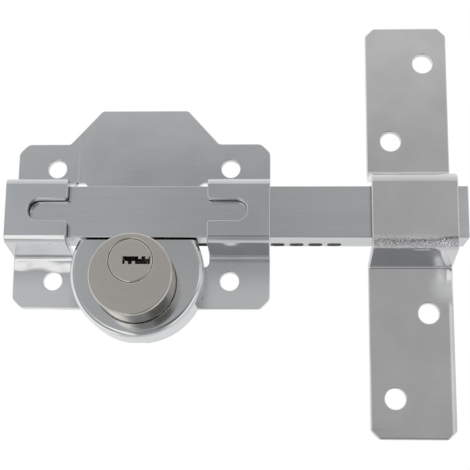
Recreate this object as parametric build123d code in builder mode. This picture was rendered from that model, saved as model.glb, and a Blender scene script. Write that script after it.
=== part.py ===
# Surface deadbolt for a door: a flat bar slides through two raised straps of a lock plate and into
# the strap of a strike plate on the door frame. A pin cylinder turns a pinion that drives the bar
# by a row of pockets in its lower face.
# Frame: X runs along the bar towards the strike, Z is up and Y = 0 is the face of the door, with
# the door behind it at +Y. The origin is the centre of the lock plate's four fixing holes.

import os
from math import cos, degrees, pi, radians, sin, sqrt

from build123d import *

os.makedirs("parts", exist_ok=True)

# Sheet metal
sheet = 2.5
strap_outer_bend = 3.0
strap_foot_bend = 3.0
running_play = 0.3

# Lock plate outline and fixing holes. The four fixing holes are centred on the origin.
ear_width = 21.9
ear_top_margin = 11.1
ear_bottom_margin = 11.7
ear_chamfer = 4.0
hump_height = 15.1
hump_slope = 13.5
fixing_side_margin = 16.8
fixing_strap_margin = 8.92
fixing_hole_radius = 3.9

# Bar
bar_z = 1.2
bar_height = 21.6
bar_thickness = 14.6
bar_projection = 80.0
bar_tail = 4.5
bar_edge = 0.4
bar_front_play = 0.9

# Lock plate straps
strap_width = 25.4
strap_side_gap = 1.3
strap_flare = 2.4
relief_width = 4.6
relief_above = 17.2
relief_below = 19.7
thumb_slot_reach = 16.2
thumb_slot_width = 8.9
thumb_slot_corner = 1.4

# Pinion and the pocket row that it meshes with
tooth_count = 10
tooth_pitch = 7.8
tooth_bite = 2.8
tooth_width = 3.2
pitch_line_drop = 1.286
pinion_thickness = 3.6
pinion_disc_gap = 1.5
pocket_end_play = 1.25
pocket_floor_gap = 1.2
pocket_corner = 0.7
pocket_side_play = 0.55
pocket_back_wall = 0.5
first_pocket_x = -5.4

# Cylinder and its housing
cylinder_drop = 5.2
cylinder_reach = 17.4
sleeve_rim = 2.45
sleeve_wall = 1.5
sleeve_face = 2.9
sleeve_flange = 2.0
sleeve_flange_thickness = 2.2
flange_top_gap = 0.9
sleeve_edge = 0.5
fit_play = 0.05
housing_side_gap = 1.8
housing_wall = 1.8
housing_front = 17.0
housing_rim = 2.2
housing_rim_facets = 3
housing_top_gap = 0.9
housing_tenon_width = 7.0
housing_tenon_thickness = 1.3
housing_tenon_angles = (-12.0, -90.0, -168.0)
spindle_hole_radius = 8.5

# Plug
plug_radius = 8.2
plug_collar_step = 0.5
plug_sink = 0.1
plug_edge = 0.35
tail_radius = 5.2
tail_flat = 4.0
tail_end = 1.6
tail_slot_width = 2.4
tail_slot_depth = 2.0
clip_thickness = 0.7
clip_width = 2.2
clip_groove_depth = 0.6

# Keyway, measured from the plug's axis
keyway_left = -3.0
keyway_side_wall = 0.4
keyway_mouth_wall = 0.3
keyway_top = 1.65
keyway_bottom = -1.45
keyway_mouth_depth = 1.2
keyway_end_wall = 1.5
rib_width = 1.3
upper_rib_places = (3.75, 6.55)
upper_rib_height = 1.05
lower_rib_places = (-1.5, 1.3)
lower_rib_height = 1.15

# Pins and springs
pin_count = 5
pin_wall = 0.475
pin_front_setback = 1.75
pin_radius = 1.35
key_pin_tips = (0.75, 0.35, 0.95, 0.2, 0.55)
key_pin_point = 0.95
driver_length = 4.2
driver_gap = 0.12
spring_wire = 0.22
spring_play = 0.08
spring_turns = 5
spring_steps = 6
spring_cover_width = 4.4
spring_cover_thickness = 1.0

# Cylinder screws
screw_radius = 1.95
screw_head_radius = 3.4
screw_head_height = 1.7
screw_depth = 11.0
screw_spread = 7.0
screw_inset = 3.4
screw_slot_width = 0.9
screw_slot_depth = 0.8

# Strike plate
bar_overhang = 4.55
strike_width = 34.7
strike_height = 177.5
strike_drop = 1.8
strike_chamfer = 3.5
strike_flare = 4.2
strike_outer_bend = 4.6
strike_height_play = 2.75
strike_front_play = 0.6
strike_outer_margin = 16.4
strike_inner_reach = 37.15
strike_line_offset_x = 7.15
strike_hole_radius = 4.3

# Bar and pinion, worked out from the values above
bar_back = sheet + running_play
bar_front = bar_back + bar_thickness
bar_bottom = bar_z - bar_height / 2
pitch_radius = tooth_count * tooth_pitch / (2 * pi)
plug_below_bar = pitch_radius + pitch_line_drop
plug_z = bar_bottom - plug_below_bar
pocket_length = tooth_width + 2 * pocket_end_play
pocket_depth = tooth_bite + pocket_floor_gap
pocket_width = pinion_thickness + 2 * pocket_side_play
pocket_back = bar_back + pocket_back_wall
pocket_middle = pocket_back + pocket_width / 2
pocket_count = tooth_count + 2
pinion_back = pocket_middle - pinion_thickness / 2
pinion_front = pinion_back + pinion_thickness
tip_radius = plug_below_bar + tooth_bite
pinion_sweep = tip_radius + running_play

# Cylinder and housing, worked out from the values above
plug_collar_radius = plug_radius + plug_collar_step
cylinder_z = plug_z - cylinder_drop
sleeve_radius = cylinder_drop + plug_collar_radius + fit_play + sleeve_rim
sleeve_front = housing_front + cylinder_reach
sleeve_back = housing_front - housing_wall - sleeve_flange_thickness
sleeve_inner = sleeve_front - sleeve_face
flange_radius = sleeve_radius + sleeve_flange
core_radius = sleeve_radius - sleeve_wall - fit_play
core_back = pinion_front + running_play
housing_z = plug_z
housing_radius = cylinder_drop + flange_radius + housing_side_gap + housing_wall
housing_top = bar_bottom - housing_top_gap
flange_top = housing_top - flange_top_gap
pin_pitch = 2 * pin_radius + pin_wall
pin_places = [sleeve_inner - pin_front_setback - n * pin_pitch for n in range(pin_count)]
shear_z = plug_z - plug_radius
screw_z = cylinder_z - sqrt((flange_radius - screw_inset) ** 2 - screw_spread**2)
cover_foot = cylinder_z - sqrt(core_radius**2 - (spring_cover_width / 2) ** 2)
cover_top = cover_foot + spring_cover_thickness


def side_plane(x):
    """Plane across the bar at X = x: its own x runs up Z from the bar and its y runs off the door."""
    return Plane(origin=(x, 0, bar_z), x_dir=(0, 0, 1), z_dir=(1, 0, 0))


def front_plane(depth):
    """Plane parallel to the door, this far off it, with X and Z as its own axes."""
    return Plane.XZ.offset(depth)


def strap_half_height(flare, front, play):
    """Half the height of a strap's outer face, where its sloping inner wall clears the bar."""
    slope = flare / (front - sheet)
    wall = sheet * sqrt(1 + slope**2)
    return bar_height / 2 + play + wall - slope * (front - bar_front)


# Straps and plates, worked out from the values above
strap_front = bar_front + bar_front_play + sheet
strap_face = strap_half_height(strap_flare, strap_front, running_play)
strap_foot = strap_face + strap_flare
strap_land = strap_foot + 2 * strap_foot_bend
strap_inner_x = housing_radius + strap_side_gap
plate_width = 2 * (strap_inner_x + strap_width)
fixing_spacing_x = plate_width - 2 * fixing_side_margin
fixing_spacing_z = 2 * (strap_foot + fixing_strap_margin)
ear_top = fixing_spacing_z / 2 + ear_top_margin
ear_bottom = -fixing_spacing_z / 2 - ear_bottom_margin
hump_top = ear_top + hump_height
hump_foot = plate_width / 2 - ear_width
hump_corner = hump_foot - hump_slope
bar_right = plate_width / 2 + bar_projection
bar_left = bar_tail - plate_width / 2
bar_length = bar_right - bar_left
strike_front = bar_front + strike_front_play + sheet
strike_face = strap_half_height(strike_flare, strike_front, strike_height_play)
strike_foot = strike_face + strike_flare
strike_x = bar_right - bar_overhang - strike_width / 2
strike_z = bar_z - strike_drop
strike_outer_reach = strike_height / 2 - strike_outer_margin


def tenon_spots(middle_radius):
    """Places round the housing's wall where a tenon goes through the lock plate."""
    spots = []
    for angle in housing_tenon_angles:
        along = middle_radius * cos(radians(angle))
        up = housing_z + middle_radius * sin(radians(angle))
        spots.append(Location((along, up, 0), (0, 0, angle)))
    return spots


# Bar: flat steel with a row of milled pockets in its lower face, near the door
with BuildPart() as bolt_bar:
    with BuildSketch(side_plane(bar_left)):
        with Locations((0, (bar_back + bar_front) / 2)):
            Rectangle(bar_height, bar_thickness)
    extrude(amount=bar_length)
    chamfer(bolt_bar.edges(), bar_edge)
    pocket_places = [first_pocket_x + n * tooth_pitch for n in range(pocket_count)]
    with BuildSketch(Plane.XY.offset(bar_bottom)):
        with Locations(*[(x, -pocket_middle) for x in pocket_places]):
            with BuildSketch(mode=Mode.PRIVATE) as pocket:
                Rectangle(pocket_length, pocket_width)
                chamfer(pocket.vertices(), pocket_corner)
            add(pocket.sketch)
    extrude(amount=pocket_depth, mode=Mode.SUBTRACT)
bolt_bar.part.label = "bolt_bar"
export_step(bolt_bar.part, "parts/bolt_bar.step")

# Lock plate: one pressed sheet with a hump above, two straps raised over the bar's path and a
# round lobe behind the cylinder housing
strap_points = [
    (-strap_land, sheet),
    (-strap_foot, sheet),
    (-strap_face, strap_front),
    (strap_face, strap_front),
    (strap_foot, sheet),
    (strap_land, sheet),
]
strap_bends = [strap_foot_bend, strap_outer_bend, strap_outer_bend, strap_foot_bend]
tenon_slot_thickness = housing_tenon_thickness + 2 * fit_play
tenon_slot_width = housing_tenon_width + 2 * fit_play
with BuildPart() as lock_plate:
    with BuildSketch(front_plane(0)) as plate_outline:
        with BuildLine():
            Polyline(
                (-plate_width / 2, ear_bottom),
                (plate_width / 2, ear_bottom),
                (plate_width / 2, ear_top),
                (hump_foot, ear_top),
                (hump_corner, hump_top),
                (-hump_corner, hump_top),
                (-hump_foot, ear_top),
                (-plate_width / 2, ear_top),
                close=True,
            )
        make_face()
        ear_corners = plate_outline.vertices().group_by(Axis.X)
        chamfer(ear_corners[0] + ear_corners[-1], ear_chamfer)
        with Locations((0, housing_z)):
            Circle(housing_radius)
        with GridLocations(plate_width - strap_width, 0, 2, 1):
            with Locations((0, bar_z)):
                Rectangle(strap_width, 2 * strap_land, mode=Mode.SUBTRACT)
    extrude(amount=sheet)
    for start in (-plate_width / 2, strap_inner_x):
        with BuildSketch(side_plane(start)):
            with BuildLine():
                FilletPolyline(*strap_points, radius=strap_bends)
                offset(amount=sheet, side=Side.RIGHT, closed=True)
            make_face()
        extrude(amount=strap_width)
    relief_middle = bar_z + (relief_above - relief_below) / 2
    relief_x = strap_inner_x - relief_width / 2
    with BuildSketch(front_plane(0)):
        with Locations((-relief_x, relief_middle), (relief_x, relief_middle)):
            SlotOverall(relief_above + relief_below, relief_width, rotation=90)
    extrude(amount=sheet, mode=Mode.SUBTRACT)
    thumb_length = 2 * thumb_slot_reach
    with BuildSketch(front_plane(bar_front)):
        with Locations((-strap_inner_x, bar_z), (strap_inner_x, bar_z)):
            SlotOverall(thumb_length, thumb_slot_width)
    extrude(amount=strap_front, mode=Mode.SUBTRACT)
    mouth_edges = []
    for x in (-strap_inner_x, strap_inner_x):
        for z in (bar_z - thumb_slot_width / 2, bar_z + thumb_slot_width / 2):
            corner = Vector(x, sheet / 2 - strap_front, z)
            mouth_edges.append(lock_plate.edges().filter_by(Axis.Y).sort_by_distance(corner)[0])
    fillet(mouth_edges, thumb_slot_corner)
    with BuildSketch(front_plane(0)):
        with GridLocations(fixing_spacing_x, fixing_spacing_z, 2, 2):
            Circle(fixing_hole_radius)
        with Locations((0, plug_z)):
            Circle(spindle_hole_radius)
        with Locations(*tenon_spots(housing_radius - housing_wall / 2)):
            Rectangle(tenon_slot_thickness, tenon_slot_width)
        with Locations((0, housing_z - housing_radius)):
            Rectangle(tenon_slot_width, housing_wall)
    extrude(amount=sheet, mode=Mode.SUBTRACT)
    with Locations(front_plane(0).location * Location((0, 0, 0), (180, 0, 0))):
        with Locations((-screw_spread, -screw_z), (screw_spread, -screw_z)):
            CounterBoreHole(
                screw_radius + fit_play,
                screw_head_radius + fit_play,
                screw_head_height + fit_play,
                depth=sheet,
            )
lock_plate.part.label = "lock_plate"
export_step(lock_plate.part, "parts/lock_plate.step")

# Cylinder housing: a pressed cup whose rim is cut off flat under the bar, so that the pinion can
# reach out of it. Tenons on its wall go through the lock plate and are riveted over at the back.
housing_cavity = housing_radius - housing_wall
sleeve_hole = sleeve_radius + 2 * fit_play
cup_profile = [(0, -housing_front), (0, -sheet), (housing_radius, -sheet)]
for step in range(housing_rim_facets + 1):
    lean = pi / 2 * step / housing_rim_facets
    across = housing_radius - housing_rim * (1 - cos(lean))
    cup_profile.append((across, housing_rim * (1 - sin(lean)) - housing_front))
with BuildPart() as cylinder_housing:
    with BuildSketch(Plane.XY.offset(housing_z)):
        with BuildLine():
            Polyline(*cup_profile, close=True)
        make_face()
    revolve(axis=Axis((0, 0, housing_z), (0, 1, 0)))
    with BuildSketch(front_plane(0)):
        with Locations((0, housing_top)):
            Rectangle(3 * housing_radius, 3 * housing_radius, align=(Align.CENTER, Align.MIN))
    extrude(amount=2 * housing_front, mode=Mode.SUBTRACT)
    with BuildSketch(front_plane(sheet)):
        with Locations((0, housing_z)):
            Circle(housing_cavity)
    extrude(amount=housing_front - housing_wall - sheet, mode=Mode.SUBTRACT)
    with BuildSketch(front_plane(sheet)):
        with Locations((0, cylinder_z)):
            Circle(sleeve_hole)
    extrude(amount=housing_front, mode=Mode.SUBTRACT)
    with BuildSketch(front_plane(fit_play)):
        with Locations(*tenon_spots(housing_radius - housing_wall / 2)):
            Rectangle(housing_tenon_thickness, housing_tenon_width)
    extrude(amount=sheet - fit_play)
cylinder_housing.part.label = "cylinder_housing"
export_step(cylinder_housing.part, "parts/cylinder_housing.step")

# Cylinder sleeve: the bright cup round the cylinder, with a flange held behind the housing's face
with BuildPart() as cylinder_sleeve:
    with BuildSketch(front_plane(sleeve_back)):
        with Locations((0, cylinder_z)):
            Circle(sleeve_radius)
    extrude(amount=sleeve_front - sleeve_back)
    chamfer(cylinder_sleeve.faces().sort_by(Axis.Y)[0].edges(), sleeve_edge)
    with BuildSketch(front_plane(sleeve_back)):
        with Locations((0, cylinder_z)):
            Circle(flange_radius)
        with Locations((0, flange_top)):
            Rectangle(
                3 * flange_radius,
                3 * flange_radius,
                align=(Align.CENTER, Align.MIN),
                mode=Mode.SUBTRACT,
            )
    extrude(amount=sleeve_flange_thickness)
    with BuildSketch(front_plane(sleeve_back)):
        with Locations((0, cylinder_z)):
            Circle(sleeve_radius - sleeve_wall)
    extrude(amount=sleeve_inner - sleeve_back, mode=Mode.SUBTRACT)
    with BuildSketch(front_plane(sleeve_back)):
        with Locations((0, plug_z)):
            Circle(plug_collar_radius + fit_play)
    extrude(amount=sleeve_front, mode=Mode.SUBTRACT)
    mouth = cylinder_sleeve.edges().filter_by(GeomType.CIRCLE).group_by(Axis.Y)[0]
    chamfer(mouth.sort_by(SortBy.RADIUS)[0], plug_edge)
cylinder_sleeve.part.label = "cylinder_sleeve"
export_step(cylinder_sleeve.part, "parts/cylinder_sleeve.step")

# Cylinder core: brass, bored off centre for the plug, with five pin chambers below the bore and a
# crescent foot that stands on the lock plate beside the pinion
with BuildPart() as cylinder_core:
    with BuildSketch(front_plane(core_back)):
        with Locations((0, cylinder_z)):
            Circle(core_radius)
    extrude(amount=sleeve_inner - core_back)
    with BuildSketch(front_plane(sheet)):
        with Locations((0, cylinder_z)):
            Circle(flange_radius)
        with Locations((0, flange_top)):
            Rectangle(
                3 * flange_radius,
                3 * flange_radius,
                align=(Align.CENTER, Align.MIN),
                mode=Mode.SUBTRACT,
            )
    extrude(amount=sleeve_back - sheet)
    with BuildSketch(front_plane(sheet)):
        with Locations((0, plug_z)):
            Circle(pinion_sweep)
    extrude(amount=core_back - sheet, mode=Mode.SUBTRACT)
    with BuildSketch(front_plane(sheet)):
        with Locations((-screw_spread, screw_z), (screw_spread, screw_z)):
            Circle(screw_radius + fit_play)
    extrude(amount=sleeve_back - sheet, mode=Mode.SUBTRACT)
    with BuildSketch(front_plane(sheet)):
        with Locations((0, plug_z)):
            Circle(plug_radius + fit_play)
    extrude(amount=sleeve_front, mode=Mode.SUBTRACT)
    with BuildSketch(Plane.XY.offset(shear_z + plug_radius / 2)):
        with Locations(*[(0, -place) for place in pin_places]):
            Circle(pin_radius + fit_play)
    extrude(amount=cover_top - shear_z - plug_radius / 2, mode=Mode.SUBTRACT)
    with BuildSketch(front_plane(sleeve_back)):
        with Locations((0, cover_top)):
            Rectangle(
                spring_cover_width + 2 * fit_play,
                3 * spring_cover_thickness,
                align=(Align.CENTER, Align.MAX),
            )
    extrude(amount=sleeve_front, mode=Mode.SUBTRACT)
cylinder_core.part.label = "cylinder_core"
export_step(cylinder_core.part, "parts/cylinder_core.step")

# Spring cover: a brass strip that closes the five chambers, held in its groove by the sleeve
with BuildPart() as spring_cover:
    with BuildSketch(front_plane(sleeve_back + fit_play)):
        with Locations((0, cover_top)):
            Rectangle(spring_cover_width, spring_cover_thickness, align=(Align.CENTER, Align.MAX))
    extrude(amount=sleeve_inner - sleeve_back - 2 * fit_play)
spring_cover.part.label = "spring_cover"
export_step(spring_cover.part, "parts/spring_cover.step")

# Cylinder screws: two flat-headed screws from the back of the lock plate into the core's foot
screw_plane = Plane(origin=(0, 0, 0), x_dir=(1, 0, 0), z_dir=(0, -1, 0))
with BuildPart() as cylinder_screws:
    with BuildSketch(screw_plane):
        with Locations((-screw_spread, screw_z), (screw_spread, screw_z)):
            Circle(screw_radius)
    extrude(amount=screw_depth)
    with BuildSketch(screw_plane):
        with Locations((-screw_spread, screw_z), (screw_spread, screw_z)):
            Circle(screw_head_radius)
    extrude(amount=screw_head_height)
    with BuildSketch(screw_plane):
        with Locations((-screw_spread, screw_z), (screw_spread, screw_z)):
            Rectangle(3 * screw_head_radius, screw_slot_width)
    extrude(amount=screw_slot_depth, mode=Mode.SUBTRACT)
cylinder_screws.part.label = "cylinder_screws"
export_step(cylinder_screws.part, "parts/cylinder_screws.step")

# Plug: turns in the core and sleeve, with a warded keyway for a flat dimple key, a row of pin
# chambers under it, and a tail with two flats for the pinion and a slot for the outside cylinder
plug_front = sleeve_front - plug_sink
keyway_back = core_back + keyway_end_wall
groove_back = pinion_back - fit_play - clip_thickness


def keyway_outline(right):
    """Corners of the keyway seen from the front, with its ribs, from the plug's axis."""
    corners = [(keyway_left, keyway_bottom), (keyway_left, keyway_top)]
    for middle in upper_rib_places:
        rib_end = keyway_top - upper_rib_height
        corners += [(middle - rib_width / 2, keyway_top), (middle - rib_width / 2, rib_end)]
        corners += [(middle + rib_width / 2, rib_end), (middle + rib_width / 2, keyway_top)]
    corners += [(right, keyway_top), (right, keyway_bottom)]
    for middle in reversed(lower_rib_places):
        rib_end = keyway_bottom + lower_rib_height
        corners += [(middle + rib_width / 2, keyway_bottom), (middle + rib_width / 2, rib_end)]
        corners += [(middle - rib_width / 2, rib_end), (middle - rib_width / 2, keyway_bottom)]
    return [(x, plug_z + z) for x, z in corners]


with BuildPart() as plug:
    with BuildSketch(front_plane(core_back)):
        with Locations((0, plug_z)):
            Circle(plug_radius)
    extrude(amount=sleeve_inner + fit_play - core_back)
    with BuildSketch(front_plane(sleeve_inner + fit_play)):
        with Locations((0, plug_z)):
            Circle(plug_collar_radius)
    extrude(amount=plug_front - sleeve_inner - fit_play)
    chamfer(plug.faces().sort_by(Axis.Y)[0].edges(), plug_edge)
    with BuildSketch(front_plane(tail_end)):
        with Locations((0, plug_z)):
            Circle(tail_radius)
            Rectangle(2 * tail_radius, 2 * tail_flat, mode=Mode.INTERSECT)
    extrude(amount=core_back - tail_end)
    with BuildSketch(front_plane(groove_back)):
        with Locations((0, plug_z)):
            Circle(2 * tail_radius)
            Circle(tail_flat - clip_groove_depth, mode=Mode.SUBTRACT)
    extrude(amount=clip_thickness + fit_play, mode=Mode.SUBTRACT)
    with BuildSketch(front_plane(tail_end)):
        with Locations((0, plug_z)):
            Rectangle(3 * tail_radius, tail_slot_width)
    extrude(amount=tail_slot_depth - fit_play, mode=Mode.SUBTRACT)
    with BuildSketch(front_plane(keyway_back)):
        with BuildLine():
            Polyline(*keyway_outline(plug_radius - keyway_side_wall), close=True)
        make_face()
    extrude(amount=plug_front - keyway_back, mode=Mode.SUBTRACT)
    with BuildSketch(front_plane(plug_front - keyway_mouth_depth)):
        with BuildLine():
            Polyline(*keyway_outline(plug_collar_radius - keyway_mouth_wall), close=True)
        make_face()
    extrude(amount=keyway_mouth_depth, mode=Mode.SUBTRACT)
    with BuildSketch(Plane.XY.offset(plug_z + keyway_bottom + lower_rib_height)):
        with Locations(*[(0, -place) for place in pin_places]):
            Circle(pin_radius + fit_play)
    extrude(amount=-plug_radius, mode=Mode.SUBTRACT)
plug.part.label = "plug"
export_step(plug.part, "parts/plug.step")

# Pinion: ten round-nosed teeth, one of them in mesh with the bar's pockets at rest
nose_radius = tooth_width / 2
tooth_reach = tip_radius - nose_radius
root_radius = plug_below_bar - pinion_disc_gap
mesh_angle = degrees((first_pocket_x + tooth_pitch) / pitch_radius)
with BuildPart() as drive_pinion:
    with BuildSketch(front_plane(pinion_back)):
        with Locations((0, plug_z)):
            Circle(root_radius)
            with PolarLocations(0, tooth_count, start_angle=90 - mesh_angle):
                with Locations((tooth_reach / 2, 0)):
                    Rectangle(tooth_reach, tooth_width)
                with Locations((tooth_reach, 0)):
                    Circle(nose_radius)
        with Locations((0, plug_z)):
            with BuildSketch(mode=Mode.PRIVATE) as tail_hole:
                Circle(tail_radius + fit_play)
                Rectangle(3 * tail_radius, 2 * (tail_flat + fit_play), mode=Mode.INTERSECT)
            add(tail_hole.sketch, mode=Mode.SUBTRACT)
    extrude(amount=pinion_thickness)
drive_pinion.part.label = "drive_pinion"
export_step(drive_pinion.part, "parts/drive_pinion.step")

# Pinion clip: an open ring of spring steel in the groove behind the pinion
clip_inner = tail_flat - clip_groove_depth + fit_play
with BuildPart() as pinion_clip:
    with BuildSketch(front_plane(groove_back)):
        with Locations((0, plug_z)):
            Circle(clip_inner + clip_width)
            Circle(clip_inner, mode=Mode.SUBTRACT)
            Rectangle(
                clip_inner,
                2 * (clip_inner + clip_width),
                align=(Align.CENTER, Align.MAX),
                mode=Mode.SUBTRACT,
            )
    extrude(amount=clip_thickness)
pinion_clip.part.label = "pinion_clip"
export_step(pinion_clip.part, "parts/pinion_clip.step")

# Pins: five key pins in the plug, each with a driver pin and a spring under it in the core. They
# stand at the shear line, as the right key sets them.
key_pin_foot = plug_z - sqrt((plug_radius - fit_play) ** 2 - pin_radius**2)
driver_top = shear_z - driver_gap
driver_foot = driver_top - driver_length
spring_radius = pin_radius - spring_wire - spring_play
spring_foot = cover_top + spring_wire + fit_play
spring_length = driver_foot - spring_foot - spring_wire - fit_play
for n, place in enumerate(pin_places):
    tip_z = plug_z + keyway_bottom + key_pin_tips[n]
    with BuildPart() as key_pin:
        with BuildSketch(Plane.XY.offset(key_pin_foot)):
            with Locations((0, -place)):
                Circle(pin_radius)
        extrude(amount=tip_z - key_pin_foot)
        chamfer(key_pin.edges().sort_by(Axis.Z)[-1], key_pin_point)
    key_pin.part.label = f"key_pin_{n + 1}"
    export_step(key_pin.part, f"parts/key_pin_{n + 1}.step")

    with BuildPart() as driver_pin:
        with BuildSketch(Plane.XY.offset(driver_foot)):
            with Locations((0, -place)):
                Circle(pin_radius)
        extrude(amount=driver_length)
    driver_pin.part.label = f"driver_pin_{n + 1}"
    export_step(driver_pin.part, f"parts/driver_pin_{n + 1}.step")

    coil_points = []
    for step in range(spring_turns * spring_steps + 1):
        turn = step / spring_steps
        x = spring_radius * cos(2 * pi * turn)
        y = spring_radius * sin(2 * pi * turn)
        coil_points.append((x, y - place, spring_foot + spring_length * turn / spring_turns))
    with BuildPart() as pin_spring:
        with BuildLine():
            coil = Polyline(*coil_points)
        with BuildSketch(Plane(origin=coil @ 0, z_dir=coil % 0)):
            RegularPolygon(spring_wire, 4)
        sweep(transition=Transition.RIGHT)
    pin_spring.part.label = f"pin_spring_{n + 1}"
    export_step(pin_spring.part, f"parts/pin_spring_{n + 1}.step")

# Strike plate: one strip bent over the bar's path, with two staggered pairs of screw holes
strike_points = [
    (strike_z - strike_height / 2 - bar_z, sheet),
    (-strike_foot, sheet),
    (-strike_face, strike_front),
    (strike_face, strike_front),
    (strike_foot, sheet),
    (strike_z + strike_height / 2 - bar_z, sheet),
]
strike_bends = [strap_foot_bend, strike_outer_bend, strike_outer_bend, strap_foot_bend]
with BuildPart() as strike_plate:
    with BuildSketch(side_plane(strike_x - strike_width / 2)):
        with BuildLine():
            FilletPolyline(*strike_points, radius=strike_bends)
            offset(amount=sheet, side=Side.RIGHT, closed=True)
        make_face()
    extrude(amount=strike_width)
    end_faces = strike_plate.faces().filter_by(Axis.Z).sort_by(Axis.Z)
    corner_edges = end_faces[0].edges().filter_by(Axis.Y) + end_faces[-1].edges().filter_by(Axis.Y)
    chamfer(corner_edges, strike_chamfer)
    with BuildSketch(front_plane(0)):
        for side in (-1, 1):
            line_x = strike_x + side * strike_line_offset_x
            outer = (line_x, strike_z + side * strike_outer_reach)
            inner = (line_x, strike_z - side * strike_inner_reach)
            with Locations(outer, inner):
                Circle(strike_hole_radius)
    extrude(amount=sheet, mode=Mode.SUBTRACT)
strike_plate.part.label = "strike_plate"
export_step(strike_plate.part, "parts/strike_plate.step")
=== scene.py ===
import bpy
import numpy as np
from mathutils import Matrix, Vector
from mathutils.geometry import delaunay_2d_cdt


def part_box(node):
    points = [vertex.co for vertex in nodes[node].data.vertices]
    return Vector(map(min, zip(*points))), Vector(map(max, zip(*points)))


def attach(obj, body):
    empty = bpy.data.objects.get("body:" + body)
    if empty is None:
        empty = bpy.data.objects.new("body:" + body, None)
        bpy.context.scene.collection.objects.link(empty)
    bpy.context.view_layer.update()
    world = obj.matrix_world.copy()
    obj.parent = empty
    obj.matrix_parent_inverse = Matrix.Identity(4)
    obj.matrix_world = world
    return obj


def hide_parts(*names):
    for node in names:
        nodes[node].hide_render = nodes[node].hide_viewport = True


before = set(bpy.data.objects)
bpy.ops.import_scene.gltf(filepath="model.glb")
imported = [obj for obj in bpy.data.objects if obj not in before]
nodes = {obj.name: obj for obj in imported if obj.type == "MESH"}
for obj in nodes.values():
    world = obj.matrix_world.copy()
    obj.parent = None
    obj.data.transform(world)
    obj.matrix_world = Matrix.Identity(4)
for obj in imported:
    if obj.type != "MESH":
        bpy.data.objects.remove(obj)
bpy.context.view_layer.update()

# Camera. It stands in front of the lock, to the right of the key cylinder and a little below it,
# and looks up. The picture lies above the lens axis, so the lens is shifted.
camera_place = (0.05476, -0.4019, -0.1125)
camera_turn, camera_tilt, camera_roll = 2.191, 10.752, 0.607
lens_data = bpy.data.cameras.new("camera")
camera = bpy.data.objects.new("camera", lens_data)
bpy.context.scene.collection.objects.link(camera)
camera.matrix_world = (
    Matrix.Translation(camera_place)
    @ Matrix.Rotation(np.radians(90), 4, "X")
    @ Matrix.Rotation(np.radians(camera_turn), 4, "Y")
    @ Matrix.Rotation(np.radians(camera_tilt), 4, "X")
    @ Matrix.Rotation(np.radians(camera_roll), 4, "Z")
)
lens_data.sensor_width = 36
lens_data.lens = 75.38
lens_data.shift_y = 0.1596
lens_data.clip_start = 0.01
lens_data.clip_end = 20
bpy.context.scene.camera = camera
bpy.context.scene.view_settings.view_transform = "Standard"


def emptied(owner):
    """Node tree of a world or a material, with nothing in it."""
    owner.use_nodes = True
    owner.node_tree.nodes.clear()
    return owner.node_tree


# Studio. Metal shows what stands round it, so the room is drawn by direction: pale behind the lock
# and overhead, grey on the camera's side. Cards in it lighten or darken single faces of the lock.
# The camera itself sees white. The pale floor keeps the shadow.
world = bpy.data.worlds.new("studio")
bpy.context.scene.world = world
tree = emptied(world)
new, join = tree.nodes.new, tree.links.new


def worked_out(tree, operation, *values):
    """Output of a math step on up to three values, each a number or a socket."""
    step = tree.nodes.new("ShaderNodeMath")
    step.operation = operation
    for socket, value in zip(step.inputs, values):
        if isinstance(value, (int, float)):
            socket.default_value = value
        else:
            tree.links.new(value, socket)
    return step.outputs[0]


def soft_step(tree, value, start, end, height=1.0):
    """Output that goes smoothly from 0 at the start value to the height at the end value."""
    step = tree.nodes.new("ShaderNodeMapRange")
    step.interpolation_type = "SMOOTHSTEP"
    tree.links.new(value, step.inputs["Value"])
    step.inputs["From Min"].default_value = start
    step.inputs["From Max"].default_value = end
    step.inputs["To Max"].default_value = height
    return step.outputs[0]


def mixed(tree, share, first, second):
    """Colour between two colours, each a socket or three numbers, by a share."""
    mix = tree.nodes.new("ShaderNodeMix")
    mix.data_type = "RGBA"
    tree.links.new(share, mix.inputs[0])
    for socket, value in zip((mix.inputs[6], mix.inputs[7]), (first, second)):
        if isinstance(value, tuple):
            socket.default_value = (*value, 1)
        else:
            tree.links.new(value, socket)
    return mix.outputs[2]


def gray(level, warmth=0.0):
    """Grey light of a level, with more red and less blue for more warmth."""
    return (level * (1 + warmth), level, level * (1 - warmth))


def by_height(tree, stops):
    """Light of the room by elevation in degrees, for (elevation, level, warmth) stops."""
    ramp = tree.nodes.new("ShaderNodeValToRGB")
    tree.links.new(worked_out(tree, "MULTIPLY_ADD", elevation, 1 / 180, 0.5), ramp.inputs[0])
    while len(ramp.color_ramp.elements) < len(stops):
        ramp.color_ramp.elements.new(0.5)
    for element, (height, level, warmth) in zip(ramp.color_ramp.elements, stops):
        element.position = height / 180 + 0.5
        element.color = (*gray(level, warmth), 1)
    return ramp.outputs[0]


def card(tree, room, across, up, soft, light):
    """The room with a soft-edged card in it, between two azimuths and two elevations in degrees."""
    share = worked_out(tree, "MULTIPLY", soft_step(tree, azimuth, across[0] - soft, across[0]),
                       soft_step(tree, azimuth, across[1] + soft, across[1]))
    share = worked_out(tree, "MULTIPLY", share, soft_step(tree, elevation, up[0] - soft, up[0]))
    share = worked_out(tree, "MULTIPLY", share, soft_step(tree, elevation, up[1] + soft, up[1]))
    return mixed(tree, share, room, light)


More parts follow.
